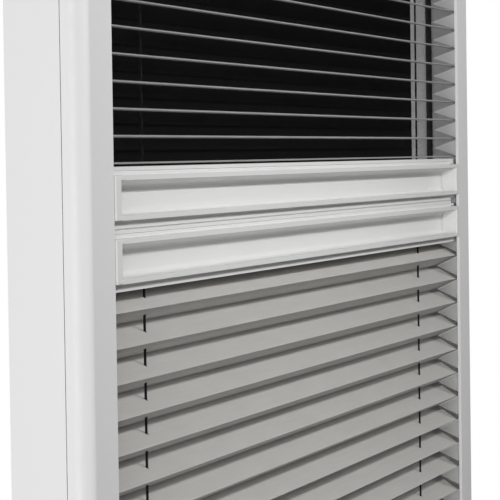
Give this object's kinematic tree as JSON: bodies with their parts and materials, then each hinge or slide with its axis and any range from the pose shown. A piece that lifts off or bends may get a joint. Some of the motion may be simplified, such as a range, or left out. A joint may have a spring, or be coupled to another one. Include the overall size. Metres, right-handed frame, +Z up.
{
  "type": "framed pleated blind with fly screen",
  "caption": "White window frame unit with a black pleated fly screen above and a grey pleated shade below, set by two sliding grip rails on tension cords.",
  "frame": {"origin": "middle of the bottom member's back face, on the plane that lies against the sash", "axes": "+X to the right seen from the room, +Y out of the frame's back towards the window, +Z up"},
  "size_m": [0.78, 0.0426, 1.18],
  "materials": {
    "frame_white": "white satin powder coat",
    "rail_white": "white satin powder coat",
    "white_plastic": "fine matt moulding",
    "screen_mesh": "open woven mesh",
    "shade_fabric": "pleated plain weave",
    "cord_black": "braided",
    "brush_black": "dense pile",
    "steel": "zinc plated"
  },
  "bodies": {
    "frame": {"bottom_frame_cover": "frame_white", "bottom_frame_profile": "frame_white", "fly_screen": "screen_mesh", "foot_strip": "white_plastic", "head_strip": "white_plastic", "left_brush_seal": "brush_black", "left_cord": "cord_black", "left_cord_plug": "white_plastic", "left_cord_spring": "steel", "left_frame_cover": "frame_white", "left_frame_profile": "frame_white", "left_lower_eyelet": "white_plastic", "left_spring_cup": "white_plastic", "left_upper_eyelet": "white_plastic", "lower_left_corner_key": "white_plastic", "lower_left_key_screw_a": "steel", "lower_left_key_screw_b": "steel", "lower_right_corner_key": "white_plastic", "lower_right_key_screw_a": "steel", "lower_right_key_screw_b": "steel", "pleated_shade": "shade_fabric", "right_brush_seal": "brush_black", "right_cord": "cord_black", "right_cord_plug": "white_plastic", "right_cord_spring": "steel", "right_frame_cover": "frame_white", "right_frame_profile": "frame_white", "right_lower_eyelet": "white_plastic", "right_spring_cup": "white_plastic", "right_upper_eyelet": "white_plastic", "top_frame_cover": "frame_white", "top_frame_profile": "frame_white", "upper_left_corner_key": "white_plastic", "upper_left_key_screw_a": "steel", "upper_left_key_screw_b": "steel", "upper_right_corner_key": "white_plastic", "upper_right_key_screw_a": "steel", "upper_right_key_screw_b": "steel"},
    "upper_rail": {"upper_rail_fabric_strip": "white_plastic", "upper_rail_grip_insert": "rail_white", "upper_rail_left_cord_guide": "white_plastic", "upper_rail_left_end_cap": "white_plastic", "upper_rail_left_glide": "white_plastic", "upper_rail_profile": "rail_white", "upper_rail_right_cord_guide": "white_plastic", "upper_rail_right_end_cap": "white_plastic", "upper_rail_right_glide": "white_plastic"},
    "lower_rail": {"lower_rail_fabric_strip": "white_plastic", "lower_rail_left_cord_guide": "white_plastic", "lower_rail_left_end_cap": "white_plastic", "lower_rail_left_glide": "white_plastic", "lower_rail_profile": "rail_white", "lower_rail_right_cord_guide": "white_plastic", "lower_rail_right_end_cap": "white_plastic", "lower_rail_right_glide": "white_plastic"}
  },
  "joints": [
    {"name": "upper_rail_slide", "type": "slide", "parent": "frame", "child": "upper_rail", "axis": [0, 0, 1], "range_m": [0, 0.38], "deforming": ["fly_screen"]},
    {"name": "lower_rail_slide", "type": "slide", "parent": "frame", "child": "lower_rail", "axis": [0, 0, 1], "range_m": [-0.515, 0], "deforming": ["pleated_shade"]}
  ]
}
